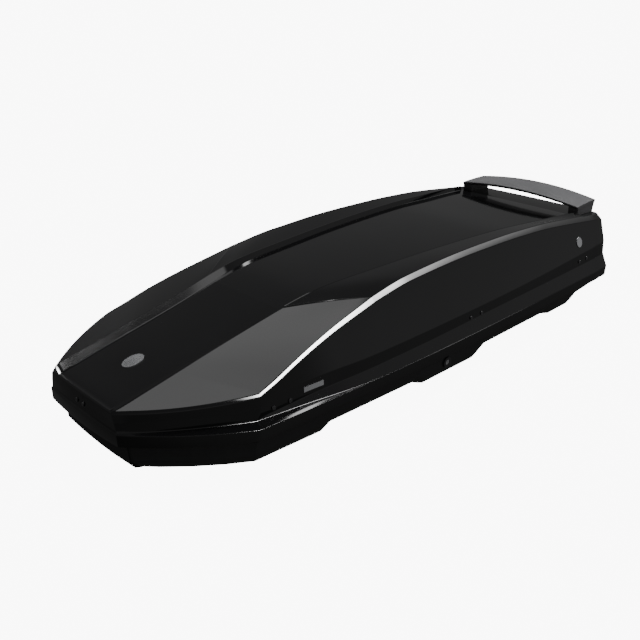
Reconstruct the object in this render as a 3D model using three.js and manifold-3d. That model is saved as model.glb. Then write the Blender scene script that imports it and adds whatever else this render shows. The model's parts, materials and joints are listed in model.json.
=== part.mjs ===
// Roof cargo box: a two-skin gloss shell that clamps on a car's roof bars and opens on either side.
// Units are millimetres. Inside the group, x runs from the car's right (-) to its left (+), y runs from
// the nose (0) to the tail, and z is measured from the lid's rim. The group then moves everything so
// that the origin lies under the middle of the box, on the surface that the box stands on.
import * as THREE from "three";
import { mergeVertices } from "three/addons/utils/BufferGeometryUtils.js";
import Module from "manifold-3d";

const wasm = await Module();
wasm.setup();

// ---------- Driving dimensions ----------
const LENGTH = 2010;
const RIM_HEIGHT = 152; // the lid's rim above the floor that the box stands on
const WALL = 4;
const GAP = 0.3; // left between touching pieces
const SKIRT = 33; // depth of the lid's skirt below its rim
const TAIL_START = 1920; // where the side turns into the rounded tail corner
const TAIL_CORNER_X = 250;
const HINGE_X = 350; // the two opening axes run along y at x = +-HINGE_X
const HINGE_Z = -20;
const BASE_INSET = 30; // the base's wall stands this far inside the lid's rim
const BASE_HALF_WIDTH = 341;
const BASE_TOP = -14;
const FLOOR = -125;
const UNITS = { front: [367, 26], mid: [1142, 45], rear: [1797, 60] }; // hinge units: y, rivet height
const RIVET_HALF_PITCH = 27;
const CLAMPS = { front: [715, -108], rear: [1415, -98] }; // y of a roof bar, underside of the floor there
const CLAMP_X = 230;
const SEAT_Z = -112; // underside of the clamps' saddles, where a roof bar bears
const JAW_LIP_Z = -144; // top of the jaws' lips, under the roof bar
const BEAMS = { front: 450, rear: 1700 };

// ---------- Materials ----------
const finish = (color, roughness, metalness) => new THREE.MeshStandardMaterial({ color, roughness, metalness });
const gloss = finish(0x0d0d0f, 0.12, 0);
const textured = finish(0x111112, 0.6, 0);
const plastic = finish(0x1c1c1e, 0.55, 0);
const rubber = finish(0x0b0b0b, 0.9, 0);
const silver = finish(0xc9ccd0, 0.3, 1);
const steel = finish(0x8d9196, 0.35, 1);
const grey = finish(0x8a8d90, 0.5, 0);

// ---------- Curves ----------
// A smooth curve through hand-set points [y, value], flat beyond its ends.
function through(...points) {
  const n = points.length;
  const slope = (i) => {
    const a = points[Math.max(i - 1, 0)];
    const b = points[Math.min(i + 1, n - 1)];
    return (b[1] - a[1]) / (b[0] - a[0]);
  };
  return (y) => {
    if (y <= points[0][0]) return points[0][1];
    if (y >= points[n - 1][0]) return points[n - 1][1];
    const i = points.findIndex((p) => p[0] > y) - 1;
    const [y0, v0] = points[i];
    const [y1, v1] = points[i + 1];
    const h = y1 - y0;
    const t = (y - y0) / h;
    const keep = (1 + 2 * t) * (1 - t) ** 2 * v0 + t * t * (3 - 2 * t) * v1;
    return keep + h * t * (1 - t) * ((1 - t) * slope(i) - t * slope(i + 1));
  };
}

// ---------- The lid's character lines, from the skirt's foot up to the top's edge ----------
const rimX = through([276, 385], [420, 391], [900, 397], [1400, 384], [1873, 365], [TAIL_START, 360]);
const bandInset = through([285, 30], [340, 31], [420, 33], [480, 33], [540, 30], [655, 22], [800, 20]);
const bandX = (y) => rimX(y) - bandInset(y);
const bandTopX = (y) => bandX(y) + through([298, 1], [420, 0], [560, -3])(y);
// The arch over the flank: its upper edge, and the slanted strip below it
const archX = through([294, 352], [351, 348], [422, 341], [503, 332], [592, 322], [700, 313], [757, 308], [908, 301],
  [1106, 298], [1313, 295], [TAIL_START, 291]);
const archZ = through([294, 77], [351, 94.5], [422, 119.5], [503, 144], [592, 166.5], [735, 198.5], [848, 218],
  [982, 230], [1200, 236], [1447, 233], [1628, 222], [TAIL_START, 190]);
const stripWidth = through([300, 10], [500, 13], [800, 20], [1200, 24], [1700, 26]);
const STRIP_OUT = 0.87;
const STRIP_DOWN = 0.5;
const LINES = [
  // centre: y and z in the middle of the nose; corner: the nose corner; shoulder: y where the side starts
  {
    centre: [0, -SKIRT], corner: [168, 9, -SKIRT], shoulder: 277, bow: 15,
    x: (y) => rimX(y) - 2, z: () => -SKIRT, tail: [2000, 2008], tailZ: -SKIRT,
  },
  {
    centre: [0, 0], corner: [167, 8, 0], shoulder: 276, bow: 15,
    x: rimX, z: () => 0, tail: [2000, 2010], tailZ: 0,
  },
  {
    centre: [3, 3], corner: [165, 11, 3], shoulder: 286, bow: 10,
    x: (y) => rimX(y) - through([286, 31], [420, 22], [560, 9], [690, 1.5])(y),
    z: through([286, 8], [500, 6], [700, 3]), tail: [1998.5, 2008.5], tailZ: 3,
  },
  {
    centre: [5, 9], corner: [163, 11, 9], shoulder: 290, bow: 12,
    x: bandX, z: through([290, 14], [470, 18], [670, 26], [920, 32], [1220, 38], [1900, 44]),
    tail: [1992, 2002], tailZ: 46,
  },
  {
    centre: [7, 28], corner: [158, 10, 29], shoulder: 298, bow: 16,
    x: bandTopX, z: through([298, 38], [355, 54], [419, 58], [566, 60], [920, 66], [1390, 72], [1890, 90]),
    tail: [1992, 2002], tailZ: 95,
  },
  {
    centre: [9, 51], corner: [151, 9.5, 51], shoulder: 297, bow: 19,
    x: (y) => archX(y) + stripWidth(y) * STRIP_OUT, z: (y) => archZ(y) - stripWidth(y) * STRIP_DOWN,
    tail: [1992, 2002], tailZ: 164,
  },
  {
    centre: [12, 56], corner: [148, 12, 57], shoulder: 300, bow: 19,
    x: archX, z: archZ, tail: [1988, 1997], tailZ: 184,
  },
];

// ---------- Stations round half the outline ----------
const PANEL_SHARE = 0.85;
const RIDGE_SHARE = 0.97;
const NOSE_SHARES = [0, PANEL_SHARE / 2, PANEL_SHARE, RIDGE_SHARE, 1];
const CHAMFER_STEPS = [0.25, 0.5, 0.75];
const SIDE_STEPS = [0, 0.04, 0.1, 0.17, 0.26, 0.36, 0.5, 0.65, 0.8, 0.92, 1];
const TAIL_ANGLES = [30, 60, 90];
const TAIL_PANEL_SHARE = 0.93;
const TAIL_SHARES = [RIDGE_SHARE, TAIL_PANEL_SHARE, TAIL_PANEL_SHARE / 2, 0];
const FIRST_ROW = NOSE_SHARES.length - 1;
const LAST_ROW = FIRST_ROW + CHAMFER_STEPS.length + SIDE_STEPS.length + TAIL_ANGLES.length;

// Half of one line as points [x, y, z], from the middle of the nose to the middle of the tail.
function halfLine(line, sideSteps = SIDE_STEPS) {
  const points = [];
  const [cx, cy, cz] = line.corner;
  for (const f of NOSE_SHARES) {
    points.push([cx * f, line.centre[0] + (cy - line.centre[0]) * f * f, line.centre[1] + (cz - line.centre[1]) * f]);
  }
  const sy = line.shoulder;
  const [sx, sz] = [line.x(sy), line.z(sy)];
  const run = Math.hypot(sx - cx, sy - cy);
  for (const t of CHAMFER_STEPS) {
    const swell = 4 * t * (1 - t);
    points.push([
      cx + (sx - cx) * t + (line.bow * swell * (sy - cy)) / run,
      cy + (sy - cy) * t - (line.bow * swell * (sx - cx)) / run,
      cz + (sz - cz) * t - (line.dip ?? 0) * swell,
    ]);
  }
  for (const s of sideSteps) {
    const y = sy + (TAIL_START - sy) * s;
    points.push([line.x(y), y, line.z(y)]);
  }
  const [tailY, middleY] = line.tail;
  const [ex, ez] = [line.x(TAIL_START), line.z(TAIL_START)];
  for (const degrees of TAIL_ANGLES) {
    const a = THREE.MathUtils.degToRad(degrees);
    points.push([
      TAIL_CORNER_X + (ex - TAIL_CORNER_X) * Math.cos(a),
      TAIL_START + (tailY - TAIL_START) * Math.sin(a),
      ez + (line.tailZ - ez) * Math.sin(a),
    ]);
  }
  for (const f of TAIL_SHARES) points.push([TAIL_CORNER_X * f, tailY + (middleY - tailY) * (1 - f * f), line.tailZ]);
  return points;
}

const mirrored = ([x, y, z]) => [-x, y, z];
const fullLoop = (half) => [...half, ...half.slice(1, -1).reverse().map(mirrored)];

// Moves a loop's points inwards in plan by d, and to another height when z is given.
function insetHalf(half, d, z) {
  return half.map(([x, y, oldZ], i) => {
    const before = half[i - 1] ?? mirrored(half[1]);
    const after = half[i + 1] ?? mirrored(half[i - 1]);
    const unit = (a, b) => {
      const l = Math.hypot(b[0] - a[0], b[1] - a[1]);
      return [(b[0] - a[0]) / l, (b[1] - a[1]) / l];
    };
    const [u, v] = [unit(before, half[i]), unit(half[i], after)];
    const [nx, ny] = [-(u[1] + v[1]) / 2, (u[0] + v[0]) / 2];
    const stretch = d / (nx * nx + ny * ny);
    return [x + nx * stretch, y + ny * stretch, z ? z(y) : oldZ];
  });
}

// ---------- Solids ----------
function meshSolid(vertProperties, triVerts) {
  const geometry = new THREE.BufferGeometry();
  geometry.setAttribute("position", new THREE.Float32BufferAttribute(vertProperties, 3));
  if (triVerts) geometry.setIndex(triVerts);
  const merged = mergeVertices(geometry, 1e-4);
  const indices = new Uint32Array(merged.index.array);
  const build = () => {
    const mesh = new wasm.Mesh({ numProp: 3, vertProperties: merged.attributes.position.array, triVerts: indices });
    return new wasm.Manifold(mesh);
  };
  const made = build();
  if (made.volume() > 0) return made;
  for (let i = 0; i < indices.length; i += 3) [indices[i + 1], indices[i + 2]] = [indices[i + 2], indices[i + 1]];
  return build();
}

// Two triangles of a quad. The box's two halves split theirs along opposite diagonals, so they mirror.
const quad = (a, b, c, d, other) => (other ? [a, b, d, b, c, d] : [a, b, c, a, c, d]);

// The solid between a stack of closed loops. The first loop is capped flat; rows, a list of point lists
// from one side of the last loop to the other, fill the last.
function loft(halves, rows) {
  const position = [];
  const index = [];
  const put = (p) => position.push(...p) / 3 - 1;
  const loops = halves.map((half) => fullLoop(half).map(put));
  const count = loops[0].length;
  for (let l = 0; l + 1 < loops.length; l++) {
    for (let k = 0; k < count; k++) {
      const [a, b] = [loops[l][k], loops[l][(k + 1) % count]];
      const [c, d] = [loops[l + 1][(k + 1) % count], loops[l + 1][k]];
      index.push(...quad(a, b, c, d, k >= count / 2));
    }
  }
  const cap = put([0, LENGTH / 2, halves[0][0][2]]);
  for (let k = 0; k < count; k++) index.push(loops[0][(k + 1) % count], loops[0][k], cap);
  const grid = rows.map((row) => row.map(put));
  for (let j = 0; j + 1 < grid.length; j++) {
    for (let i = 0; i + 1 < grid[j].length; i++) {
      const [a, b, c, d] = [grid[j][i], grid[j + 1][i], grid[j + 1][i + 1], grid[j][i + 1]];
      index.push(...quad(a, b, c, d, i >= (grid[j].length - 1) / 2));
    }
  }
  return meshSolid(position, index);
}

function solidOf(geometry) {
  geometry.deleteAttribute("normal");
  geometry.deleteAttribute("uv");
  const merged = mergeVertices(geometry, 1e-4);
  return meshSolid(merged.attributes.position.array, Array.from(merged.index.array));
}

function box(x0, x1, y0, y1, z0, z1) {
  const geometry = new THREE.BoxGeometry(x1 - x0, y1 - y0, z1 - z0);
  geometry.translate((x0 + x1) / 2, (y0 + y1) / 2, (z0 + z1) / 2);
  return solidOf(geometry);
}

const TURN = { x: [0, 0, -Math.PI / 2], y: [0, 0, 0], z: [Math.PI / 2, 0, 0] };

// A cylinder whose middle is at (x, y, z), along the named axis.
function rod(axis, radius, length, x, y, z, sides = 16) {
  const geometry = new THREE.CylinderGeometry(radius, radius, length, sides);
  geometry.applyMatrix4(new THREE.Matrix4().makeRotationFromEuler(new THREE.Euler(...TURN[axis])));
  geometry.translate(x, y, z);
  return solidOf(geometry);
}

// An outline of [y, z] points, extruded along x from x0 to x1.
function plateX(points, x0, x1) {
  const shape = new THREE.Shape(points.map(([y, z]) => new THREE.Vector2(y, z)));
  const geometry = new THREE.ExtrudeGeometry(shape, { depth: x1 - x0, bevelEnabled: false });
  geometry.applyMatrix4(new THREE.Matrix4().makeBasis(
    new THREE.Vector3(0, 1, 0), new THREE.Vector3(0, 0, 1), new THREE.Vector3(1, 0, 0)));
  geometry.translate(x0, 0, 0);
  return solidOf(geometry);
}

// An outline of [x, z] points, extruded along y from y0 to y1.
function plateY(points, y0, y1) {
  const shape = new THREE.Shape(points.map(([x, z]) => new THREE.Vector2(x, z)));
  const geometry = new THREE.ExtrudeGeometry(shape, { depth: y1 - y0, bevelEnabled: false });
  geometry.applyMatrix4(new THREE.Matrix4().makeBasis(
    new THREE.Vector3(1, 0, 0), new THREE.Vector3(0, 0, 1), new THREE.Vector3(0, -1, 0)));
  geometry.translate(0, y1, 0);
  return solidOf(geometry);
}

const union = (...solids) => solids.reduce((all, s) => all.add(s));

// The solid with a clearance cut round another one.
function clearOf(solid, other, gap = GAP) {
  let left = solid.subtract(other);
  for (const shift of [[gap, 0, 0], [-gap, 0, 0], [0, gap, 0], [0, -gap, 0], [0, 0, gap], [0, 0, -gap]]) {
    left = left.subtract(other.translate(shift));
  }
  return left;
}

const group = new THREE.Group();
group.position.set(0, -LENGTH / 2, RIM_HEIGHT);

function piece(name, solid, material) {
  const { vertProperties, triVerts } = solid.getMesh();
  const geometry = new THREE.BufferGeometry();
  geometry.setAttribute("position", new THREE.BufferAttribute(vertProperties, 3));
  geometry.setIndex(new THREE.BufferAttribute(triVerts, 1));
  const mesh = new THREE.Mesh(geometry, material);
  mesh.name = name;
  group.add(mesh);
}

const SIDES = { left: 1, right: -1 };
const onSide = (solid, side) => (side > 0 ? solid : solid.mirror([1, 0, 0]));

// ---------- The lid ----------
const TOP_WALL_HEIGHT = 16; // the ridges stand this high above the recessed centre panel
const ridgeX = through([30, 150], [540, 168], [1100, 208], [1862, 262]);
const ridgeZ = through([11, 60], [45, 73], [100, 85], [200, 108], [400, 151], [540, 185], [600, 197], [720, 211],
  [800, 215], [1100, 226], [1400, 228], [1600, 220], [1862, 206], [TAIL_START, 192]);
const wallRun = through([60, 21], [600, 20], [1862, 8]);
const SPOILER_STEP = 1862; // the centre panel ends here, and a plain deck carries the spoiler

function topRows(edge, drop) {
  const rows = [];
  for (let h = FIRST_ROW; h <= LAST_ROW; h++) {
    const [x, y, z] = edge[h];
    if (h === FIRST_ROW || h === LAST_ROW) {
      const inner = h === FIRST_ROW ? edge.slice(0, h).reverse() : edge.slice(h + 1);
      rows.push([edge[h], ...inner, ...inner.slice(0, -1).reverse().map(mirrored), mirrored(edge[h])]);
      continue;
    }
    const r = Math.min(ridgeX(y), x * 0.95);
    const deck = y > SPOILER_STEP;
    const p = r - wallRun(y);
    const rz = (deck ? z : ridgeZ(y)) - (deck ? 0 : drop);
    const pz = deck ? rz : rz - TOP_WALL_HEIGHT;
    const side = [[x, y, z], [r, y, rz], [p, y, pz], [p / 2, y, pz + 1]];
    rows.push([...side, [0, y, pz + 1], ...side.reverse().map(mirrored)]);
  }
  return rows;
}

const outerHalves = LINES.map((line) => halfLine(line));
const lidOutside = loft(outerHalves, topRows(outerHalves.at(-1), 0));
const innerHalves = outerHalves.map((half, i) => {
  const drop = [-WALL, WALL, WALL, 0, 0, WALL, WALL][i];
  return insetHalf(half, WALL).map(([x, y, z]) => [x, y, z - drop * (i === 0 ? -3 : 1)]);
});
const cavity = loft(innerHalves, topRows(innerHalves.at(-1), WALL));
const lidSkin = lidOutside.subtract(cavity);
const lidSolidBelow = cavity.translate([0, 0, -0.5]); // what fits under the lid with a bond line between

// The outside of the lid's side wall at (y, z), between the riveted band's two character lines.
function wallX(y, z) {
  const [low, high] = [outerHalves[3], outerHalves[4]].map((half) => {
    const next = half.findIndex((p) => p[1] > y && p[0] > TAIL_CORNER_X);
    const [[x0, y0, z0], [x1, y1, z1]] = [half[next - 1], half[next]];
    const t = (y - y0) / (y1 - y0);
    return [x0 + (x1 - x0) * t, z0 + (z1 - z0) * t];
  });
  return low[0] + ((high[0] - low[0]) * (z - low[1])) / (high[1] - low[1]);
}

const RIVET_HEAD = { radius: 6, height: 2.5 };
const SHANK_RADIUS = 3;
const RIVET_SIDES = 8;
const unitRivets = (unit) => [UNITS[unit][0] - RIVET_HALF_PITCH, UNITS[unit][0] + RIVET_HALF_PITCH];
const NOSE_RIVETS = { x: 16, y: 6.4, z: 25 };

let lidShell = lidSkin;
for (const unit of Object.keys(UNITS)) {
  const z = UNITS[unit][1];
  for (const y of unitRivets(unit)) {
    const hole = rod("x", SHANK_RADIUS + 0.4, 40, wallX(y, z), y, z, RIVET_SIDES);
    lidShell = lidShell.subtract(hole).subtract(hole.mirror([1, 0, 0]));
  }
}
for (const s of [1, -1]) {
  const hole = rod("y", SHANK_RADIUS + 0.4, 40, s * NOSE_RIVETS.x, NOSE_RIVETS.y, NOSE_RIVETS.z, RIVET_SIDES);
  lidShell = lidShell.subtract(hole);
}
piece("lid_shell", lidShell, gloss);

// A riveted lid bracket: a backing plate inside the wall, two rivets through it, and a strut down to the
// eye that turns on the hinge pin.
const EYE = { radius: 7, bore: 4.5, length: 10 };

function lidBracket(unit) {
  const [y, z] = UNITS[unit];
  const layer = (out, inn) => cavity.translate([-out, 0, 0]).subtract(cavity.translate([-inn, 0, 0]));
  const plate = box(300, 380, y - 34, y + 34, z - 12, z + 12).intersect(layer(0.5, 3.5));
  const wall = Math.min(wallX(y - 34, z), wallX(y + 34, z)) - WALL;
  const foot = [[HINGE_X - 4, HINGE_Z + 4], [HINGE_X + 4, HINGE_Z + 4], [HINGE_X + 5, -4]];
  const strut = plateY([...foot, [wall - 0.6, z], [wall - 0.6, z + 10], [wall - 7, z + 10], [wall - 7, z],
    [HINGE_X - 8, -3]], y - EYE.length / 2, y + EYE.length / 2).intersect(cavity.translate([-0.5, 0, -0.5]));
  let made = union(plate, strut, rod("y", EYE.radius, EYE.length, HINGE_X, y, HINGE_Z, 12));
  made = made.subtract(rod("y", EYE.bore, EYE.length * 2, HINGE_X, y, HINGE_Z, 12));
  for (const ry of unitRivets(unit)) {
    const x = wallX(ry, z);
    const head = rod("x", RIVET_HEAD.radius, RIVET_HEAD.height * 2, x + GAP, ry, z, 10);
    made = made.add(rod("x", SHANK_RADIUS, 10, x - 3, ry, z, RIVET_SIDES));
    made = made.add(head.subtract(lidOutside.translate([GAP + 0.1, 0, 0])));
  }
  return made;
}

// The floor's underside along the box: deep pads between the shallow bays over the two roof bars.
const FLOOR_PROFILE = [[276, FLOOR], [510, FLOOR], [545, CLAMPS.front[1]], [880, CLAMPS.front[1]], [925, FLOOR - 2],
  [1175, FLOOR - 2], [1235, CLAMPS.rear[1]], [1590, CLAMPS.rear[1]], [1635, -112], [1760, -112], [1815, -88],
  [TAIL_START, -84]];
const BASE_STEPS = FLOOR_PROFILE.map(([y]) => (y - LINES[1].shoulder) / (TAIL_START - LINES[1].shoulder));
function floorHeight(y) {
  const next = FLOOR_PROFILE.findIndex(([at]) => at > y);
  if (next < 1) return FLOOR_PROFILE.at(next)[1];
  const [[y0, z0], [y1, z1]] = [FLOOR_PROFILE[next - 1], FLOOR_PROFILE[next]];
  return z0 + ((z1 - z0) * (y - y0)) / (y1 - y0);
}
const rimHalf = halfLine(LINES[1], BASE_STEPS);
const narrowed = (half, most) => half.map(([x, y, z]) => [Math.min(x, most), y, z]);

function baseLoops(grow) {
  const wall = (z) => narrowed(insetHalf(rimHalf, BASE_INSET + grow, () => z), BASE_HALF_WIDTH - grow);
  const floorZ = (y) => floorHeight(y) + grow;
  return [
    wall(grow ? BASE_TOP + 20 : BASE_TOP),
    wall(-46 + grow),
    insetHalf(rimHalf, BASE_INSET + grow, () => -52 - grow),
    insetHalf(rimHalf, BASE_INSET + 4 + grow, (y) => Math.min(floorZ(y) + 27, -60)),
    insetHalf(rimHalf, BASE_INSET + 17 + grow, (y) => floorZ(y) + 8),
    insetHalf(rimHalf, BASE_INSET + 38 + grow, floorZ),
  ];
}

function floorRows(edge) {
  const rows = [];
  const first = FIRST_ROW;
  const last = edge.length - TAIL_SHARES.length - 1;
  for (let h = first; h <= last; h++) {
    if (h === first || h === last) {
      const inner = h === first ? edge.slice(0, h).reverse() : edge.slice(h + 1);
      rows.push([edge[h], ...inner, ...inner.slice(0, -1).reverse().map(mirrored), mirrored(edge[h])]);
      continue;
    }
    const [x, y, z] = edge[h];
    const side = [[x, y, z], ...[0.75, 0.5, 0.25].map((f) => [x * f, y, z])];
    rows.push([...side, [0, y, z], ...side.reverse().map(mirrored)]);
  }
  return rows;
}

const tub = (grow) => {
  const loops = baseLoops(grow);
  return loft(loops, floorRows(loops.at(-1)));
};
let baseShell = tub(0).subtract(tub(WALL));

// ---------- Clamps on the floor rails ----------
const RAIL = { half: 34, height: 10, wall: 3, before: 110, after: 140 };
const SLOT = { half: 24, before: 60, after: 84 };

function clampAt(where) {
  const [y, under] = CLAMPS[where];
  const railBottom = under + WALL + 0.4;
  const railTop = railBottom + RAIL.height;
  const deck = railTop + 0.4;
  const slot = box(-SLOT.half, SLOT.half, y - SLOT.before, y + SLOT.after, under - 30, railTop + 30);
  const rail = box(-RAIL.half, RAIL.half, y - RAIL.before, y + RAIL.after, railBottom, railTop)
    .subtract(box(-RAIL.half + RAIL.wall, RAIL.half - RAIL.wall, y - RAIL.before - 1, y + RAIL.after + 1,
      railBottom - 1, railTop - RAIL.wall))
    .subtract(slot);
  const jawBottom = -RIM_HEIGHT;
  const body = plateX([
    [y - 55, deck + 30], [y + 38, deck + 30], [y + 38, deck], [y + 32, deck], [y + 32, SEAT_Z], [y - 32, SEAT_Z],
    [y - 32, SEAT_Z + 4], [y - 46, SEAT_Z + 4], [y - 46, JAW_LIP_Z], [y - 36, JAW_LIP_Z], [y - 36, jawBottom],
    [y - 55, jawBottom],
  ], -14, 14);
  const pivot = [y + 50, deck + 15];
  const ears = (s) => box(s > 0 ? 14.5 : -21, s > 0 ? 21 : -14.5, y - 20, y + 60, deck, deck + 30);
  let housing = union(body, box(-30, 30, y - 55, y + 30, deck, deck + 30), ears(1), ears(-1));
  housing = housing.subtract(rod("x", 3.6, 60, 0, ...pivot, 12));
  housing = housing.add(box(-20, 20, y - 32, y + 32, SEAT_Z, SEAT_Z + 3.5));
  const jaw = plateX([
    [y + 46, deck + 22], [y + 55, deck + 22], [y + 55, jawBottom + 1], [y + 36, jawBottom + 1],
    [y + 36, JAW_LIP_Z], [y + 46, JAW_LIP_Z],
  ], -12, 12).add(rod("x", 3.1, 41, 0, ...pivot, 12));
  const knob = union(rod("z", 25, 14, 0, y - 14, deck + 37.6, 20), box(-26, 26, y - 19, y - 9, deck + 37, deck + 58));
  return { slot, rail, housing, jaw, knob };
}

const clampSets = Object.keys(CLAMPS).map((where) => [where, clampAt(where)]);
for (const [, { slot }] of clampSets) {
  for (const s of [1, -1]) baseShell = baseShell.subtract(slot.translate([s * CLAMP_X, 0, 0]));
}

// ---------- Locks in the base's side walls ----------
const LOCK = { y: 1019, z: -76, bore: 13, flange: 17, plug: 8 };
const lockX = rimX(LOCK.y) - BASE_INSET;
const lockBore = rod("x", LOCK.bore + GAP, 60, lockX, LOCK.y, LOCK.z, 20);
baseShell = baseShell.subtract(lockBore).subtract(lockBore.mirror([1, 0, 0]));
piece("base_shell", baseShell, textured);

function lockParts() {
  const inner = lockX - 26;
  const outer = lockX + 1.6;
  const middle = (inner + outer) / 2;
  const tube = union(
    rod("x", LOCK.bore, outer - inner, middle, LOCK.y, LOCK.z, 20),
    rod("x", LOCK.flange, 4.5, outer - 1, LOCK.y, LOCK.z, 20),
  );
  const housing = clearOf(tube.subtract(rod("x", LOCK.plug + 0.4, 60, middle, LOCK.y, LOCK.z, 16)), baseShell);
  const cam = box(inner - 6, inner - 2, LOCK.y - 5, LOCK.y + 5, LOCK.z - 6, LOCK.z + 16);
  const keyway = box(outer - 4, outer + 4, LOCK.y - 1, LOCK.y + 1, LOCK.z - 4.5, LOCK.z + 4.5);
  const plug = rod("x", LOCK.plug, outer - inner + 4, middle - 2, LOCK.y, LOCK.z, 16).add(cam).subtract(keyway);
  return { housing, plug };
}

// ---------- Latch bars: three sockets that slide over the lid's hinge pins ----------
const BAR = { x0: 342.6, x1: 346.4, z0: -44, z1: -36 };
const PIN = { radius: 4, head: 6 };
const SOCKET = { start: 27, length: 18, radius: 7, bore: 4.5 };
const GUIDES = { front: 640, rear: 1480 };

function latchBar() {
  const ys = Object.values(UNITS).map(([y]) => y + SOCKET.start);
  let bar = box(BAR.x0, BAR.x1, ys[0], ys[2] + SOCKET.length, BAR.z0, BAR.z1);
  for (const y of ys) {
    bar = bar.add(box(BAR.x0, BAR.x1, y, y + SOCKET.length, BAR.z1 - 2, HINGE_Z));
    bar = bar.add(rod("y", SOCKET.radius, SOCKET.length, HINGE_X, y + SOCKET.length / 2, HINGE_Z, 12));
    bar = bar.subtract(rod("y", SOCKET.bore, SOCKET.length + 4, HINGE_X, y + SOCKET.length / 2, HINGE_Z, 12));
  }
  return clearOf(bar, baseShell, 0.8);
}

function latchGuide(y) {
  const outside = box(338, 351.5, y - 12, y + 12, -50, -30);
  const passage = box(BAR.x0 - 1, BAR.x1 + 1, y - 20, y + 20, BAR.z0 - 1.2, BAR.z1 + 1.2);
  return clearOf(outside.subtract(passage), baseShell.add(box(300, 341.2, y - 30, y + 30, -60, -10)));
}

const hingePin = (y) => union(
  rod("y", PIN.radius, 34, HINGE_X, y + 7, HINGE_Z, 12),
  rod("y", PIN.head, 4, HINGE_X, y - 10, HINGE_Z, 12),
);

for (const [side, s] of Object.entries(SIDES)) {
  for (const unit of Object.keys(UNITS)) {
    piece(`lid_bracket_${unit}_${side}`, onSide(lidBracket(unit), s), steel);
    piece(`hinge_pin_${unit}_${side}`, onSide(hingePin(UNITS[unit][0]), s), steel);
  }
  piece(`latch_bar_${side}`, onSide(latchBar(), s), steel);
  for (const [where, y] of Object.entries(GUIDES)) piece(`latch_guide_${where}_${side}`, onSide(latchGuide(y), s), plastic);
  const lock = lockParts();
  piece(`lock_housing_${side}`, onSide(lock.housing, s), plastic);
  piece(`lock_plug_${side}`, onSide(lock.plug, s), steel);
  for (const [where, clamp] of clampSets) {
    const put = (name, solid, material) => piece(`${name}_${where}_${side}`, solid.translate([s * CLAMP_X, 0, 0]), material);
    put("floor_rail", clamp.rail, steel);
    put("clamp_housing", clamp.housing, plastic);
    put("clamp_jaw", clamp.jaw, rubber);
    put("clamp_knob", clamp.knob, grey);
  }
}

// ---------- Rim seal, on the top edge of the base's wall ----------
const sealRing = (grow, z) => narrowed(insetHalf(rimHalf, BASE_INSET + grow, () => z), BASE_HALF_WIDTH - grow);
function slab(grow, z0, z1) {
  const edge = sealRing(grow, z1);
  return loft([sealRing(grow, z0), edge], floorRows(edge));
}
piece("rim_seal", slab(0, BASE_TOP + 0.4, BASE_TOP + 6).subtract(slab(5, BASE_TOP - 5, BASE_TOP + 10)), rubber);

// ---------- Beams bonded under the lid ----------
for (const [where, y] of Object.entries(BEAMS)) {
  const bar = box(-128, 128, y - 22, y + 22, -20, 240).intersect(lidSolidBelow);
  piece(`lid_beam_${where}`, bar.subtract(cavity.translate([0, 0, -9])), steel);
}

// ---------- Rear spoiler: a wing on two feet, standing on the deck behind the centre panel ----------
const WING = { front: 1872, back: 2003, half: 261, backHalf: 255, lip: 16, crown: 22, sweep: 10 };
function spoiler() {
  const columns = 8;
  const section = (u) => {
    const rise = WING.crown * (1 - u * u);
    const front = WING.front - WING.sweep * (1 - u * u) * 0.3;
    const back = WING.back + (LENGTH - WING.back - 1) * (1 - u * u);
    const x = (f) => u * (WING.half + (WING.backHalf - WING.half) * f);
    return [
      [x(0), front, 222 + rise], [x(0.5), (front + back) / 2, 227 + rise], [x(1), back, 228 + rise],
      [x(1), back - 2, 217 + rise], [x(0.5), (front + back) / 2, 210 + rise], [x(0.1), front + 8, 206 + rise],
    ];
  };
  const sections = Array.from({ length: columns + 1 }, (_, i) => section((2 * i) / columns - 1));
  const position = [];
  const index = [];
  for (const s of sections) for (const p of s) position.push(...p);
  const n = sections[0].length;
  for (let i = 0; i < columns; i++) {
    for (let k = 0; k < n; k++) {
      const [a, b] = [i * n + k, i * n + ((k + 1) % n)];
      index.push(a, a + n, b + n, a, b + n, b);
    }
  }
  for (let k = 1; k + 1 < n; k++) {
    index.push(0, k, k + 1, columns * n, columns * n + k + 1, columns * n + k);
  }
  let wing = meshSolid(position, index);
  for (const s of [1, -1]) {
    const foot = plateX([[1886, 216], [1995, 220], [1985, 150], [1884, 150]], 219, 255);
    wing = wing.add(onSide(foot, s));
  }
  return clearOf(wing, lidOutside, 0.5);
}
piece("rear_spoiler", spoiler(), gloss);

// ---------- Nose rivets, badges and plates ----------
const noseRivet = (s) => union(
  rod("y", SHANK_RADIUS, 14, s * NOSE_RIVETS.x, NOSE_RIVETS.y + 6, NOSE_RIVETS.z, RIVET_SIDES),
  rod("y", RIVET_HEAD.radius, RIVET_HEAD.height * 2, s * NOSE_RIVETS.x, NOSE_RIVETS.y, NOSE_RIVETS.z, 10)
    .subtract(lidOutside.translate([0, -GAP - 0.1, 0])),
);
const noseBack = box(-28, 28, 5, 40, NOSE_RIVETS.z - 8, NOSE_RIVETS.z + 8)
  .intersect(cavity.translate([0, 0.5, 0]).subtract(cavity.translate([0, 3.5, 0])));
piece("nose_rivets", union(noseRivet(1), noseRivet(-1), noseBack), steel);

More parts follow.
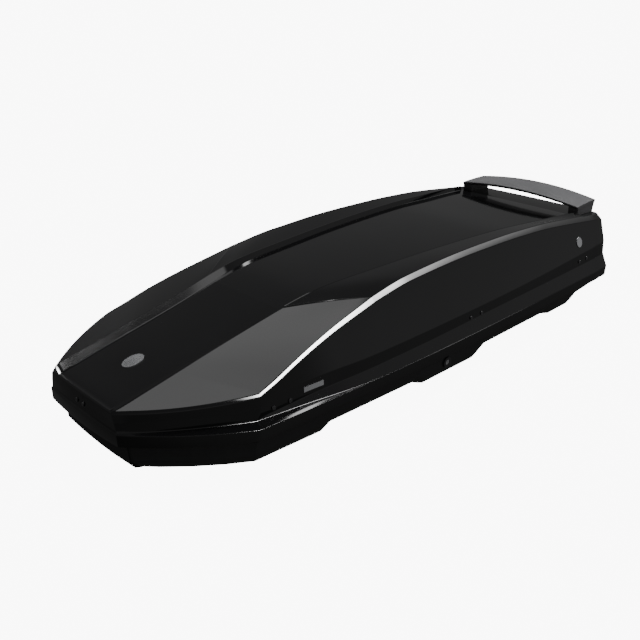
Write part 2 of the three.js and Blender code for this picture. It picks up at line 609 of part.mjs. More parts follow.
// A thin plate that follows the lid's skin: what a prism cuts from the layer just outside the skin.
function skinPlate(prism, shift) {
  const [x, y, z] = shift;
  return prism.intersect(lidOutside.translate([x, y, z])).subtract(lidOutside.translate([x / 6, y / 6, z / 6]));
}
const NOSE_BADGE = { y: 165, half: 24, tall: 31 };
const stadium = Array.from({ length: 20 }, (_, i) => {
  const a = (i * Math.PI) / 10;
  return [NOSE_BADGE.half * Math.cos(a), NOSE_BADGE.y + NOSE_BADGE.tall * Math.sin(a)];
});
const badgeShape = new THREE.Shape(stadium.map(([x, y]) => new THREE.Vector2(x, y)));
const badgePrism = new THREE.ExtrudeGeometry(badgeShape, { depth: 100, bevelEnabled: false });
badgePrism.translate(0, 0, 50);
piece("nose_badge", skinPlate(solidOf(badgePrism), [0, 0, 2.4]), silver);
for (const [side, s] of Object.entries(SIDES)) {
  const round = rod("x", 17, 80, 350, 1778, 128, 20);
  piece(`side_badge_${side}`, onSide(skinPlate(round, [2.4, 0, 0]), s), silver);
  const tag = box(320, 400, 440, 506, 32, 46);
  piece(`side_plate_${side}`, onSide(skinPlate(tag, [1.8, 0, 0]), s), silver);
}

export default group;
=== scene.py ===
# Looks for the roof cargo box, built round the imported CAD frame. Lengths in the design are millimetres
# in box coordinates: x to the car's left, y from the nose (0) to the tail, z from the lid's rim.
import json
import math

import bpy
import bmesh
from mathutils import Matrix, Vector


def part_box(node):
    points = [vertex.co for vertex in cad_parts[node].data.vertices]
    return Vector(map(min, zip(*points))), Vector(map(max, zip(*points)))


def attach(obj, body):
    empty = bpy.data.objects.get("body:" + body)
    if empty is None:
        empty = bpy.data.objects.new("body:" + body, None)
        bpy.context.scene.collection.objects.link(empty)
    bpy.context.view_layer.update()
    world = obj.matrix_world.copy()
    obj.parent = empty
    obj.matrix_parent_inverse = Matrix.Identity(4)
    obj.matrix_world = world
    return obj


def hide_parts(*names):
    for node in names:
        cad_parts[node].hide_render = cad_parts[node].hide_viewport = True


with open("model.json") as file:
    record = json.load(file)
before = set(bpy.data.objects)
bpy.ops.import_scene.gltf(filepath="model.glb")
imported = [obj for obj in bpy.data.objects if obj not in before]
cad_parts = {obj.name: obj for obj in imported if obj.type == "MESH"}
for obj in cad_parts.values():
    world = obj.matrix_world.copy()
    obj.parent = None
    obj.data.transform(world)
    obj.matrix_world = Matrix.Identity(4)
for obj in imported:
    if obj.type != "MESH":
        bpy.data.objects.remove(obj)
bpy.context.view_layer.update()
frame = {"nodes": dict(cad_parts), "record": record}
MM = 0.001

# ---------- The design's place in the frame ----------
LID_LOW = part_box("lid_shell")[0]
SKIRT = 33
RIM_HEIGHT = LID_LOW.z / MM + SKIRT
NOSE_Y = LID_LOW.y / MM


def place(p):
    """Box coordinates in mm to the frame's metres."""
    return Vector((p[0] * MM, (p[1] + NOSE_Y) * MM, (p[2] + RIM_HEIGHT) * MM))


# ---------- Curves ----------
def through(*points):
    """A smooth curve through given points (y, value), flat beyond its ends."""
    last = len(points) - 1

    def slope(i):
        (y0, v0), (y1, v1) = points[max(i - 1, 0)], points[min(i + 1, last)]
        return (v1 - v0) / (y1 - y0)

    def at(y):
        if y <= points[0][0]:
            return points[0][1]
        if y >= points[last][0]:
            return points[last][1]
        i = next(k for k in range(last) if points[k + 1][0] > y)
        (y0, v0), (y1, v1) = points[i], points[i + 1]
        h = y1 - y0
        t = (y - y0) / h
        blend = (1 + 2 * t) * (1 - t) ** 2 * v0 + t * t * (3 - 2 * t) * v1
        return blend + h * t * (1 - t) * ((1 - t) * slope(i) - t * slope(i + 1))

    return at


def kinked(before, knot, after):
    """Two smooth curves that meet at an angle in the knot, a point (y, value) of both."""
    first, second = through(*before, knot), through(knot, *after)
    return lambda y: first(y) if y < knot[0] else second(y)


def mix(a, b, t):
    return tuple(p + (q - p) * t for p, q in zip(a, b))


def spread(first, last, count):
    """count + 1 even values from first to last."""
    return [first + (last - first) * i / count for i in range(count + 1)]


# ---------- The lid's character lines ----------
ARCH_START = 300     # where the arch starts, behind the nose's chamfer
FACET_END = 540      # where the flat nose facet ends at the ridge
CREASE_Y = 735       # where the nose facet's rear crease meets the arch
SPOILER_STEP = 1862  # where the recessed panel ends in a flat deck
TAIL_START = 1920    # where the outline turns in to the tail
TAIL_CORNER_X = 250
TAIL_SQUARENESS = 0.6

rim_x = through((276, 385), (420, 391), (900, 397), (1400, 384), (1873, 365), (TAIL_START, 360))
band_inset = through((285, 30), (340, 31), (420, 33), (480, 33), (540, 30), (655, 22), (800, 20))
band_rise = through((298, 1), (420, 0), (560, -3))
ledge_inset = through((286, 31), (420, 22), (560, 9), (690, 1.5))
LEDGE_SLOPE = 0.26

# The arch over the flank: its upper edge, and the slanted strip below it
arch_x = through((294, 352), (351, 348), (422, 341), (503, 332), (592, 322), (700, 313), (757, 308), (908, 301),
                 (1106, 298), (1313, 295), (TAIL_START, 291))
arch_z = kinked(((294, 77), (351, 94.5), (422, 119.5), (503, 144), (592, 166.5)), (CREASE_Y, 198.5),
                ((848, 216.5), (908, 222), (1106, 233), (1313, 234.5), (1447, 232), (1628, 222),
                 (TAIL_START, 190)))
strip_width = through((300, 10), (500, 13), (800, 20), (1200, 24), (1700, 26))
STRIP_OUT, STRIP_DOWN = 0.87, 0.5  # the strip's slant


def band_x(y):
    return rim_x(y) - band_inset(y)


def line(centre, corner, shoulder, bow, x, z, tail, tail_z, dip=0):
    """One long line of the lid. centre (y, z) and corner (x, y, z) are its points at the nose. The flank starts
    at y = shoulder and follows x(y) and z(y). bow and dip bend the chamfer between corner and shoulder outward
    and down. tail holds y at the tail's corner and in its middle."""
    return dict(centre=centre, corner=corner, shoulder=shoulder, bow=bow, x=x, z=z, tail=tail, tail_z=tail_z,
                dip=dip)


# From the bottom up: the skirt's lower edge, rim, ledge, band's foot, band's top, strip's foot and arch
LINES = [
    line((0, -SKIRT), (168, 9, -SKIRT), 277, 15, lambda y: rim_x(y) - 2, lambda y: -SKIRT,
         (2000, 2008), -SKIRT),
    line((0, 0), (167, 8, 0), 276, 15, rim_x, lambda y: 0, (2000, 2010), 0),
    line((3, 3), (165, 11, 3), 286, 10, lambda y: rim_x(y) - ledge_inset(y),
         lambda y: LEDGE_SLOPE * ledge_inset(y), (1998.5, 2008.5), 3),
    line((5, 9), (163, 11, 9), 290, 12, band_x,
         through((290, 14), (470, 18), (670, 26), (920, 32), (1220, 38), (1900, 44)), (1992, 2002), 46),
    line((7, 28), (158, 10, 29), 298, 16, lambda y: band_x(y) + band_rise(y),
         through((298, 38), (355, 54), (419, 58), (566, 60), (920, 66), (1390, 72), (1890, 90)),
         (1992, 2002), 95),
    line((9, 51), (151, 9.5, 51), 297, 19, lambda y: arch_x(y) + strip_width(y) * STRIP_OUT,
         lambda y: arch_z(y) - strip_width(y) * STRIP_DOWN, (1992, 2002), 164, 3),
    line((12, 56), (148, 12, 57), 300, 19, arch_x, arch_z, (1988, 1997), 184, 3),
]
EDGE_RADIUS = [1.2, 2.0, 1.6, 2.2, 2.2, 2.6]  # of the lid's edge along each line but the lowest

# ---------- Stations round half the outline ----------
PANEL_COLUMNS = 10
FACET_COLUMNS = 8
RIDGE_SHARE = 0.97
RIDGE_GAP, FACET_GAP = 0.015, 0.004  # from the ridge's crest inward, and outward
PANEL_SHARE = 0.85
TAIL_PANEL_SHARE = 0.93
WALL_GAP = 0.02                      # either side of the panel's edge


def nose_shares(panel):
    """Shares of the half width, from the middle out to the corner, one for each column of the top."""
    inner = spread(0, panel - WALL_GAP, PANEL_COLUMNS)
    wall_and_ridge = [panel, panel + WALL_GAP, RIDGE_SHARE - RIDGE_GAP, RIDGE_SHARE]
    return inner + wall_and_ridge + spread(RIDGE_SHARE + FACET_GAP, 1, FACET_COLUMNS)


def along_arch(y):
    """The share of the arch's length, from its foot to the tail, at which it reaches y."""
    return (y - ARCH_START) / (TAIL_START - ARCH_START)


CHAMFER_COUNT, FLANK_COUNT, TAIL_COUNT = 20, 84, 12
FLANK_CROWDING = 1.25                  # crowds the flank's stations toward the nose
CREASE_GAP, STEP_GAP = 0.0012, 0.0011  # between the close stations at the crease, and at the deck's step

NOSE_SHARES = nose_shares(PANEL_SHARE)
TAIL_SHARES = nose_shares(TAIL_PANEL_SHARE)[::-1][1:]
CHAMFER_STEPS = spread(0, 1, CHAMFER_COUNT)[1:-1]
FLANK_STEPS = sorted([t ** FLANK_CROWDING for t in spread(0, 1, FLANK_COUNT)]
                     + [along_arch(CREASE_Y) + k * CREASE_GAP for k in (-1, 0, 1)]
                     + [along_arch(SPOILER_STEP) + k * STEP_GAP for k in (-3, -1, 1, 3)])
TAIL_ANGLES = spread(0, 90, TAIL_COUNT)[1:]
FIRST_STATION = len(NOSE_SHARES) - 1   # the nose corner
LAST_STATION = FIRST_STATION + len(CHAMFER_STEPS) + len(FLANK_STEPS) + len(TAIL_ANGLES)  # the tail corner
LAST_ROW = LAST_STATION - FIRST_STATION


def chamfer_point(ln, t):
    """A point at a share t of the chamfer, which runs from the nose corner to the shoulder."""
    cx, cy, cz = ln["corner"]
    sy = ln["shoulder"]
    sx, sz = ln["x"](sy), ln["z"](sy)
    run = math.hypot(sx - cx, sy - cy)
    swell = 4 * t * (1 - t)
    return (cx + (sx - cx) * t + ln["bow"] * swell * (sy - cy) / run,
            cy + (sy - cy) * t - ln["bow"] * swell * (sx - cx) / run,
            cz + (sz - cz) * t - ln["dip"] * swell)


def half_line(ln):
    """Half of one line, from the middle of the nose to the middle of the tail."""
    cx, cy, cz = ln["corner"]
    ny, nz = ln["centre"]
    points = [(cx * f, ny + (cy - ny) * f * f, nz + (cz - nz) * f) for f in NOSE_SHARES]
    points += [chamfer_point(ln, t) for t in CHAMFER_STEPS]
    sy = ln["shoulder"]
    for s in FLANK_STEPS:
        y = sy + (TAIL_START - sy) * s
        points.append((ln["x"](y), y, ln["z"](y)))
    tail_y, middle_y = ln["tail"]
    ex, ez = ln["x"](TAIL_START), ln["z"](TAIL_START)
    for degrees in TAIL_ANGLES:
        a = math.radians(degrees)
        out, back = max(math.cos(a), 0) ** TAIL_SQUARENESS, math.sin(a) ** TAIL_SQUARENESS
        points.append((TAIL_CORNER_X + (ex - TAIL_CORNER_X) * out, TAIL_START + (tail_y - TAIL_START) * back,
                       ez + (ln["tail_z"] - ez) * back))
    points += [(TAIL_CORNER_X * f, tail_y + (middle_y - tail_y) * (1 - f * f), ln["tail_z"])
               for f in TAIL_SHARES]
    return points


# ---------- The top: recessed panel, ridges, nose facets and shoulders ----------
WALL_HEIGHT, WALL_FOOT_RISE, WALL_FOOT_HALF = 16, 1.0, 1.2
CREST_HALF, CREST_DROP = 0.8, 0.6
RIDGE_FOOT_OUT = 3     # from the ridge's line out to its foot
RIDGE_REACH = 0.955    # the furthest share of the arch's x that a ridge comes to
PANEL_INSET, PANEL_CROWN = 3, 1.5
FACET_CORNER = (149, 11, 57)
FACET_RISE, FACET_FALL = 0.246, 0.245
CREASE_SWELL = 4       # how far the nose facet's rear crease stands proud of a straight row
SWELL_AHEAD, SWELL_BEHIND = 100, 80

ridge_x = through((30, 150), (FACET_END, 168), (1100, 208), (SPOILER_STEP, 262))
ridge_z = kinked(((11, 60), (25, 67), (45, 73), (100, 85), (200, 108), (400, 151)), (FACET_END, 185),
                 ((600, 197), (650, 205), (720, 211), (800, 215), (1100, 226), (1400, 228), (1600, 220),
                  (SPOILER_STEP, 206), (TAIL_START, 192)))
deck_z = through((SPOILER_STEP, 189.5), (1925, 188), (1990, 184.5))
wall_run = through((60, 21), (560, 18), (700, 9), (SPOILER_STEP, 6))
row_skew = through((11, 11), (300, 195), (CREASE_Y, FACET_END), (1100, 1040), (1500, 1490),
                   (SPOILER_STEP, SPOILER_STEP), (TAIL_START, TAIL_START), (2000, 2000))


def facet_plane(x, y):
    """Height of the flat nose facet, which rises rearward from the nose corner and falls outward."""
    cx, cy, cz = FACET_CORNER
    return cz + FACET_RISE * (y - cy) - FACET_FALL * (x - cx)


def top_row(edge):
    """One row of the top, from the edge's point on the left to the middle. It is straight from the edge to the
    ridge's foot, and its inner end lies ahead of its outer end where row_skew says so."""
    ry = row_skew(edge[1])
    on_deck = edge[1] > SPOILER_STEP
    r = min(ridge_x(ry), edge[0] * RIDGE_REACH)
    rz = deck_z(ry) if on_deck else ridge_z(ry)
    depth, foot_rise = (0, 0) if on_deck else (WALL_HEIGHT, WALL_FOOT_RISE)
    foot_x, foot_z = r + RIDGE_FOOT_OUT, rz - CREST_DROP
    if ry < FACET_END:
        foot_z = min(foot_z, facet_plane(foot_x, ry))
    row = [mix(edge, (foot_x, ry, foot_z), t) for t in spread(0, 1, FACET_COLUMNS)]
    p, pz = r - wall_run(ry), rz - depth
    row += [(r + CREST_HALF, ry, rz), (r - CREST_HALF, ry, rz)]
    row += [(p + WALL_FOOT_HALF, ry, pz + foot_rise), (p - WALL_FOOT_HALF, ry, pz)]
    return row + [((p - PANEL_INSET) * f, ry, pz + PANEL_CROWN * (1 - f * f))
                  for f in spread(1, 0, PANEL_COLUMNS)]


def lid_top(edge):
    """The grid of the top: rows from nose to tail, columns from the edge to the middle."""
    rows = [edge[FIRST_STATION::-1]]
    for point in edge[FIRST_STATION + 1:LAST_STATION]:
        reach = SWELL_AHEAD if point[1] < CREASE_Y else SWELL_BEHIND
        swell = CREASE_SWELL * math.exp(-abs(point[1] - CREASE_Y) / reach)
        row = top_row(point)
        for i in range(1, FACET_COLUMNS):
            x, y, z = row[i]
            row[i] = (x, y, z + swell * math.sin(math.pi * i / FACET_COLUMNS))
        rows.append(row)
    rows.append(edge[LAST_STATION:])
    return rows


def place_on_edge(station):
    """Row and column of the top's grid at a station of its edge."""
    if station <= FIRST_STATION:
        return 0, FIRST_STATION - station
    if station <= LAST_STATION:
        return station - FIRST_STATION, 0
    return LAST_ROW, station - LAST_STATION


# ---------- Meshes ----------
WELD, SLIVER = 2e-5, 1e-5  # metres


def mirrored(p):
    return (-p[0], p[1], p[2])


def both_sides(points, faces):
    count = len(points)
    return points + [mirrored(p) for p in points], faces + [[i + count for i in f[::-1]] for f in faces]


def link(name, data):
    obj = bpy.data.objects.new(name, data)
    bpy.context.scene.collection.objects.link(obj)
    return obj


def make_object(name, verts, faces, body, material):
    mesh = bpy.data.meshes.new(name)
    mesh.from_pydata([place(v) for v in verts], [], faces)
    bm = bmesh.new()
    bm.from_mesh(mesh)
    bmesh.ops.remove_doubles(bm, verts=bm.verts, dist=WELD)
    bmesh.ops.dissolve_degenerate(bm, edges=bm.edges, dist=SLIVER)
    bmesh.ops.recalc_face_normals(bm, faces=bm.faces)
    bm.to_mesh(mesh)
    bm.free()
    mesh.polygons.foreach_set("use_smooth", [True] * len(mesh.polygons))
    mesh.materials.append(material)
    obj = link(name, mesh)
    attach(obj, body)
    return obj


def soften(obj, width, segments, angle):
    """Rounds the edges that turn by more than an angle in degrees."""
    edge = obj.modifiers.new("edge", "BEVEL")
    edge.width, edge.segments = width, segments
    edge.limit_method, edge.angle_limit = "ANGLE", math.radians(angle)


def weight_normals(obj):
    """Keeps flat faces flat in the shading, and sharp edges sharp."""
    obj.modifiers.new("weighted", "WEIGHTED_NORMAL").keep_sharp = True


# ---------- Node materials ----------
PLASTIC_IOR = 1.49
COAT_ROUGHNESS = 0.03
RAMP_START, RAMP_END = 0.3, 0.7  # the part of the noise's range that a ramp spreads
TINT_NOISE, POLISH_NOISE, GRAIN_NOISE = (5, 0.6), (6, 0.65), (3, 0.5)  # detail, roughness
POLISH_SCALE = 4                 # how much finer the polish varies than the tint


def new_material(name):
    mat = bpy.data.materials.new(name)
    mat.use_nodes = True
    nodes = mat.node_tree.nodes
    return mat, nodes, mat.node_tree.links, nodes["Principled BSDF"]


def noise(nodes, links, kind, scale, stretch):
    """Noise on the piece's own coordinates, in metres."""
    coords = nodes.new("ShaderNodeTexCoord").outputs["Object"]
    tex = nodes.new("ShaderNodeTexNoise")
    tex.inputs["Scale"].default_value = scale
    tex.inputs["Detail"].default_value, tex.inputs["Roughness"].default_value = kind
    if stretch:
        mapping = nodes.new("ShaderNodeMapping")
        mapping.inputs["Scale"].default_value = stretch
        links.new(coords, mapping.inputs["Vector"])
        coords = mapping.outputs["Vector"]
    links.new(coords, tex.inputs["Vector"])
    return tex.outputs["Fac"]


def ramp(nodes, links, fac, low, high):
    """Maps a 0 to 1 factor to a range of values, or to a blend of two colours."""
    node = nodes.new("ShaderNodeValToRGB")
    for element, position, value in zip(node.color_ramp.elements, (RAMP_START, RAMP_END), (low, high)):
        element.position = position
        element.color = (*value, 1) if isinstance(value, tuple) else (value, value, value, 1)
    links.new(fac, node.inputs["Fac"])
    return node.outputs["Color"]


def bump(nodes, links, height, distance, onto):
    node = nodes.new("ShaderNodeBump")
    node.inputs["Strength"].default_value = 1.0
    node.inputs["Distance"].default_value = distance
    links.new(height, node.inputs["Height"])
    if onto:
        links.new(onto, node.inputs["Normal"])
    return node.outputs["Normal"]


def surface(name, dark, light, rough, cloud, metallic=0.0, bumps=(), coat=0.0, stretch=None):
    """A finish: cloudy colour between dark and light, roughness between two values, and bumps, each (scale,
    depth in metres)."""
    mat, nodes, links, shader = new_material(name)
    shader.inputs["Metallic"].default_value = metallic
    shader.inputs["IOR"].default_value = PLASTIC_IOR
    shader.inputs["Coat Weight"].default_value = coat
    shader.inputs["Coat Roughness"].default_value = COAT_ROUGHNESS
    tint = ramp(nodes, links, noise(nodes, links, TINT_NOISE, cloud, stretch), dark, light)
    links.new(tint, shader.inputs["Base Color"])
    polish = ramp(nodes, links, noise(nodes, links, POLISH_NOISE, cloud * POLISH_SCALE, stretch), *rough)
    links.new(polish, shader.inputs["Roughness"])
    normal = None
    for scale, depth in bumps:
        normal = bump(nodes, links, noise(nodes, links, GRAIN_NOISE, scale, stretch), depth, normal)
    if normal:
        links.new(normal, shader.inputs["Normal"])
    return mat


BRUSHED = (1, 0.04, 1)
GLOSS = surface("lid_gloss", (0.0013, 0.0013, 0.0014), (0.0019, 0.0019, 0.0021), (0.065, 0.09), 2.5,
                bumps=((38, 0.00002), (420, 0.0000006)))
LID_INSIDE = surface("lid_inside", (0.010, 0.010, 0.011), (0.016, 0.016, 0.017), (0.35, 0.5), 6,
                     bumps=((900, 0.00004),))
TEXTURED = surface("base_texture", (0.004, 0.004, 0.0042), (0.008, 0.008, 0.0085), (0.58, 0.72), 5,
                   bumps=((700, 0.00018), (2200, 0.00006)))
RUBBER = surface("seal_rubber", (0.008, 0.008, 0.008), (0.014, 0.014, 0.014), (0.6, 0.8), 12,
                 bumps=((1500, 0.00005),))
SILVER = surface("badge_silver", (0.66, 0.67, 0.69), (0.74, 0.75, 0.77), (0.24, 0.3), 6, 1.0,
                 bumps=((300, 0.000002),))
BLACK_STEEL = surface("rivet_steel", (0.010, 0.010, 0.011), (0.018, 0.018, 0.019), (0.22, 0.38), 60,
                      bumps=((1800, 0.00003),), coat=0.3)
BRIGHT_STEEL = surface("pin_steel", (0.42, 0.43, 0.44), (0.56, 0.57, 0.58), (0.22, 0.4), 40, 1.0,
                       bumps=((1600, 0.00002),), stretch=BRUSHED)
ZINC = surface("zinc", (0.36, 0.37, 0.38), (0.55, 0.56, 0.57), (0.3, 0.5), 70, 1.0, bumps=((900, 0.00003),))
NYLON = surface("hardware_plastic", (0.012, 0.012, 0.013), (0.022, 0.022, 0.023), (0.4, 0.56), 20,
                bumps=((1400, 0.00006),))
CHROME = surface("lock_steel", (0.55, 0.55, 0.56), (0.66, 0.66, 0.67), (0.14, 0.26), 50, 1.0,
                 bumps=((1500, 0.00001),))
GREY = surface("knob_grey", (0.15, 0.16, 0.17), (0.20, 0.21, 0.22), (0.42, 0.56), 25, bumps=((1300, 0.00006),))
COATED = surface("beam_steel", (0.016, 0.016, 0.017), (0.026, 0.026, 0.027), (0.4, 0.55), 30,
                 bumps=((1100, 0.00008),))
WING_FINISH = surface("spoiler_satin", (0.048, 0.048, 0.050), (0.060, 0.060, 0.062), (0.28, 0.34), 8,
                      bumps=((120, 0.000004),))

SLOT_FINISH = {"lid_gloss": GLOSS, "base_texture": TEXTURED, "seal_rubber": RUBBER, "badge_silver": SILVER,
               "rivet_steel": BLACK_STEEL, "pin_steel": BRIGHT_STEEL, "latch_steel": ZINC,
               "hardware_plastic": NYLON, "lock_steel": CHROME, "rail_steel": ZINC, "jaw_rubber": RUBBER,
               "knob_grey": GREY, "beam_steel": COATED}

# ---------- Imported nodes: finish, softened edges ----------
NODE_EDGE = (0.0006, 2, 40)  # width, segments, angle

for part in frame["record"]["subparts"]:
    node = frame["nodes"][part["node"]]
    node.data.materials.clear()
    node.data.materials.append(SLOT_FINISH[part["material_slot"]])
    soften(node, *NODE_EDGE)

# ---------- The lid ----------
SKIN_THICKNESS = 0.0038
FILLET_STEPS = (0, 0.33, 0.67, 1)
FILLET_LIMIT = 0.45  # the largest share of a stretch that one fillet takes up
TINY = 1e-6
SHARP_COLUMNS = 5    # from the ridge's foot to the inner edge of the wall's foot


def fillets(section, radii):
    """The section with its inner corners rounded, each by its own radius."""
    out = [section[0]]
    for before, corner, after, radius in zip(section, section[1:], section[2:], radii):
        start = mix(corner, before, min(radius / max(math.dist(before, corner), TINY), FILLET_LIMIT))
        end = mix(corner, after, min(radius / max(math.dist(corner, after), TINY), FILLET_LIMIT))
        out += [mix(mix(start, corner, t), mix(corner, end, t), t) for t in FILLET_STEPS]
    out.append(section[-1])
    return out


def quads(grid):
    """The four corners of every cell between neighbouring rows of points."""
    for a, b in zip(grid, grid[1:]):
        yield from zip(a, b, b[1:], a[1:])


def lid_half():
    """Half the lid's outside: (points, faces). The flank's sections end where the top's grid begins."""
    lines = [half_line(ln) for ln in LINES]
    top = lid_top(lines[-1])
    flank = []
    for station, section in enumerate(zip(*lines)):
        row, column = place_on_edge(station)
        beside = top[min(max(row, 1), LAST_ROW - 1)][max(column, 1)]
        profile = fillets([*section, beside], EDGE_RADIUS)[:-1]
        flank.append(profile)
        top[row][column] = profile[-1]
    points, index = [], {}

    def number(p):
        key = tuple(round(v, 5) for v in p)
        if key not in index:
            index[key] = len(points)
            points.append(p)
        return index[key]

    cells = [[number(p) for p in cell] for grid in (flank, top) for cell in quads(grid)]
    faces = [list(dict.fromkeys(cell)) for cell in cells]
    return points, [face for face in faces if len(face) > 2]


def creases():
    """The top's sharp lines on both sides: the ridge's foot, its crest's two edges and the wall foot's two."""
    rows = lid_top(half_line(LINES[-1]))[1:-1]
    lines = [[row[FACET_COLUMNS + k] for row in rows] for k in range(SHARP_COLUMNS)]
    return lines + [[mirrored(p) for p in points] for points in lines]


def mark_creases(obj, lines):
    """Makes the edges that run along these lines sharp."""
    spots = {tuple(round(v, 4) for v in place(p)): k for k, points in enumerate(lines) for p in points}
    of_vertex = [spots.get(tuple(round(v, 4) for v in vertex.co)) for vertex in obj.data.vertices]
    for edge in obj.data.edges:
        a, b = (of_vertex[i] for i in edge.vertices)
        edge.use_edge_sharp = a is not None and a == b


lid = make_object("lid_skin", *both_sides(*lid_half()), "lid", GLOSS)
mark_creases(lid, creases())
lid.data.materials.append(LID_INSIDE)
shell = lid.modifiers.new("wall", "SOLIDIFY")
shell.thickness, shell.offset, shell.use_even_offset = SKIN_THICKNESS, -1, True
shell.material_offset = 1
weight_normals(lid)
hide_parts("lid_shell")

# ---------- The rear spoiler: a curved wing on two end feet ----------
WING = dict(front=1872, back=2003, half=260, back_half=254.5, crown=21.5, front_bow=3, back_bow=5.5)
WING_STATIONS = 48
WING_EDGE = (0.0012, 3, 35)  # width, segments, angle
# The wing's outline at its tips, as (share of the chord, z): leading edge, top, trailing edge, underside
WING_OUTLINE = ((0.00, 219.5), (0.004, 221.2), (0.02, 222.3), (0.08, 223.2), (0.25, 224.8), (0.5, 226.4),
                (0.75, 227.3), (0.96, 227.5), (0.992, 226.8), (1.0, 225.0), (0.996, 219.5), (0.98, 217.6),
                (0.75, 213.2), (0.5, 210.2), (0.25, 208.4), (0.1, 208.6), (0.03, 211.5), (0.006, 215.5))
FOOT_OUTLINE = ((1876, 221), (1940, 224), (2000, 225), (1998, 214), (1994, 200), (1990, 182), (1986, 178),
                (1880, 184), (1876, 195))
FOOT_SECTIONS_X = (220, 222, 240, 262)
FOOT_INSET, FOOT_TAPER = 0.2, 0.042  # of a foot's outer side from the wing's tip


def wing_section(u):
    """The wing's outline at a share u of its half width."""
    arch = 1 - u * u
    front = WING["front"] - WING["front_bow"] * arch
    chord = WING["back"] + WING["back_bow"] * arch - front
    rise = WING["crown"] * arch
    taper = WING["back_half"] - WING["half"]
    return [(u * (WING["half"] + taper * f), front + chord * f, z + rise) for f, z in WING_OUTLINE]


def foot_section(x):
    """A foot's outline at x, cut off just inside the wing's tip."""
    reach = WING["half"] - FOOT_INSET
    return [(min(x, reach - (y - WING["front"]) * FOOT_TAPER), y, z) for y, z in FOOT_OUTLINE]


def capped_loft(sections):
    """Closed outlines joined in order, with a cap on each end: (points, faces)."""
    n = len(sections[0])
    last = n * (len(sections) - 1)
    faces = []
    for i in range(0, last, n):
        faces += [[i + k, i + (k + 1) % n, i + n + (k + 1) % n, i + n + k] for k in range(n)]
    faces += [list(range(n))[::-1], [last + k for k in range(n)]]
    return [p for section in sections for p in section], faces


def spoiler_piece(name, sections):
    piece = make_object(name, *capped_loft(sections), "lid", WING_FINISH)
    soften(piece, *WING_EDGE)
    weight_normals(piece)
    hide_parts("rear_spoiler")


foot = [foot_section(x) for x in FOOT_SECTIONS_X]
spoiler_piece("spoiler_wing", [wing_section(u) for u in spread(-1, 1, WING_STATIONS)])
spoiler_piece("spoiler_foot_left", foot)
spoiler_piece("spoiler_foot_right", [[mirrored(p) for p in section] for section in foot])

# ---------- Camera ----------
CAMERA_AT = (1.7335, -1.7989, 1.189)
CAMERA_AZIMUTH, CAMERA_ELEVATION = math.radians(46.82), math.radians(23.51)
SENSOR_WIDTH, FOCAL_LENGTH = 36, 46.24

camera = link("camera", bpy.data.cameras.new("camera"))
camera.data.sensor_width, camera.data.lens = SENSOR_WIDTH, FOCAL_LENGTH
camera.location = CAMERA_AT
backward = Vector((math.sin(CAMERA_AZIMUTH) * math.cos(CAMERA_ELEVATION),
                   -math.cos(CAMERA_AZIMUTH) * math.cos(CAMERA_ELEVATION), math.sin(CAMERA_ELEVATION)))
camera.rotation_euler = backward.to_track_quat("Z", "Y").to_euler()
bpy.context.scene.camera = camera


# ---------- Studio: a soft box, and a world of lights that the gloss reflects ----------
def softbox(name, aim, direction, distance, width, height, radiance):
    """A rectangular light that looks at a point, in metres, with the brightness it shows in a reflection."""
    light = bpy.data.lights.new(name, "AREA")
    light.shape, light.size, light.size_y = "RECTANGLE", width, height
    light.energy = radiance * math.pi * width * height
    obj = link(name, light)
    way = Vector(direction).normalized()
    obj.location = Vector(aim) + way * distance
    obj.rotation_euler = way.to_track_quat("Z", "Y").to_euler()
    obj.visible_camera = False


softbox("overhead", aim=(0.1, 0.1, 0.4), direction=(0.05, 0.27, 0.96), distance=4.2, width=2.0, height=2.0,
        radiance=0.4)

# A light is seen in the direction way and fades between two angles from it, in degrees. The bank is a narrow
# streak square to side, brightest at way, and falls off rearward by (degrees from way, share of its light).
CEILING = dict(way=(-0.40, 0.22, 0.89), inner=11.4, outer=12.8, light=1.65)
SPOT = dict(way=(0.35, 0.38, 0.857), inner=6, outer=9, light=1.8)
BANK = dict(way=(0.114, 0.247, 0.962), side=(-0.957, -0.225, 0.184), inner=2, outer=5, light=150,
            fall=((4, 1.0), (9.2, 0.8), (14.2, 0.27), (20, 0.22), (22, 0.18), (25.5, 0.09), (29.2, 0.045),
                  (32.3, 0.032), (36, 0.02), (48, 0.004), (60, 0.0)))
WALL_LIGHT, WALL_GLOW = 0.14, 0.2  # all round, and added on the car's left
LOW_SHARE = 0.5                    # of the walls' light, below the horizon
LEFT, REAR, UP = (1, 0, 0), (0, 1, 0), (0, 0, 1)
# Where a light starts and is at its full strength, as cosines of the angle from LEFT, REAR, UP and UP
GLOW_GATE, BANK_REAR_GATE, BANK_UP_GATE, WALL_GATE = (0.2, 0.8), (-0.08, 0.03), (0.1, 0.3), (-0.32, -0.02)

world = bpy.data.worlds.new("studio")
bpy.context.scene.world = world
world.use_nodes = True
world_nodes, world_links = world.node_tree.nodes, world.node_tree.links
direction = world_nodes.new("ShaderNodeTexCoord").outputs["Generated"]


def math_node(operation, a, b):
    node = world_nodes.new("ShaderNodeMath")
    node.operation = operation
    for socket, value in zip(node.inputs, (a, b)):
        if isinstance(value, (int, float)):
            socket.default_value = value
        else:
            world_links.new(value, socket)
    return node.outputs[0]


def product(first, *others):
    for other in others:
        first = math_node("MULTIPLY", first, other)
    return first


def towards(way):
    """Cosine of the angle between a direction and this one."""
    node = world_nodes.new("ShaderNodeVectorMath")
    node.operation = "DOT_PRODUCT"
    world_links.new(direction, node.inputs[0])
    node.inputs[1].default_value = Vector(way).normalized()
    return node.outputs["Value"]


def step_up(value, low, high):
    node = world_nodes.new("ShaderNodeMapRange")
    node.interpolation_type = "SMOOTHSTEP"
    node.inputs["From Min"].default_value, node.inputs["From Max"].default_value = low, high
    world_links.new(value, node.inputs["Value"])
    return node.outputs["Result"]


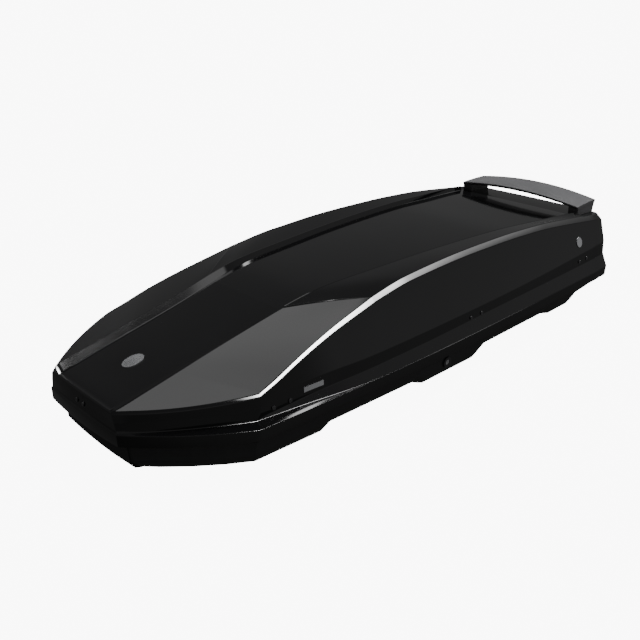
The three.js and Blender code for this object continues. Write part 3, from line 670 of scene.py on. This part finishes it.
def cosine(degrees):
    return math.cos(math.radians(degrees))


def sine(degrees):
    return math.sin(math.radians(degrees))


def round_light(lamp):
    return product(step_up(towards(lamp["way"]), cosine(lamp["outer"]), cosine(lamp["inner"])), lamp["light"])


def light_bank(lamp):
    fall = world_nodes.new("ShaderNodeValToRGB")
    stops = [(cosine(angle), share) for angle, share in lamp["fall"][::-1]]
    while len(fall.color_ramp.elements) < len(stops):
        fall.color_ramp.elements.new(0.5)
    for element, (position, share) in zip(fall.color_ramp.elements, stops):
        element.position, element.color = position, (share, share, share, 1)
    world_links.new(towards(lamp["way"]), fall.inputs["Fac"])
    off_line = math_node("ABSOLUTE", towards(lamp["side"]), 0)
    narrow = step_up(math_node("SUBTRACT", 1, off_line), 1 - sine(lamp["outer"]), 1 - sine(lamp["inner"]))
    rearward, upward = step_up(towards(REAR), *BANK_REAR_GATE), step_up(towards(UP), *BANK_UP_GATE)
    return product(fall.outputs["Color"], narrow, rearward, lamp["light"], upward)


ceiling = math_node("MAXIMUM", round_light(CEILING), round_light(SPOT))
glow = math_node("ADD", product(step_up(towards(LEFT), *GLOW_GATE), WALL_GLOW), WALL_LIGHT)
dimming = math_node("ADD", product(step_up(towards(UP), *WALL_GATE), 1 - LOW_SHARE), LOW_SHARE)
lights = math_node("ADD", ceiling, light_bank(BANK))
background = world_nodes["Background"]
background.inputs["Color"].default_value = (1, 1, 1, 1)
world_links.new(math_node("ADD", lights, product(glow, dimming)), background.inputs["Strength"])

# ---------- Floor and backdrop: plain white to the camera, and hidden from what the box reflects ----------
STUDIO_GREY, STUDIO_ROUGHNESS, STUDIO_GLOW = 0.08, 0.9, 9.0
FLOOR_HALF, DOME_RADIUS = 40, 38  # metres

studio_white, _, _, shader = new_material("floor_glow")
shader.inputs["Base Color"].default_value = (STUDIO_GREY, STUDIO_GREY, STUDIO_GREY, 1)
shader.inputs["Roughness"].default_value = STUDIO_ROUGHNESS
shader.inputs["Specular IOR Level"].default_value = 0.0
shader.inputs["Emission Color"].default_value = (1, 1, 1, 1)
shader.inputs["Emission Strength"].default_value = STUDIO_GLOW


def studio_object(name, hidden_from, build, **sizes):
    bm = bmesh.new()
    build(bm, **sizes)
    mesh = bpy.data.meshes.new(name)
    bm.to_mesh(mesh)
    bm.free()
    mesh.materials.append(studio_white)
    obj = link(name, mesh)
    for ray in hidden_from:
        setattr(obj, "visible_" + ray, False)
    return obj


floor = studio_object("floor", ("glossy", "diffuse"),
                      bmesh.ops.create_grid, x_segments=2, y_segments=2, size=FLOOR_HALF)
dome = studio_object("backdrop", ("glossy", "diffuse", "transmission", "volume_scatter", "shadow"),
                     bmesh.ops.create_uvsphere, u_segments=48, v_segments=24, radius=DOME_RADIUS)
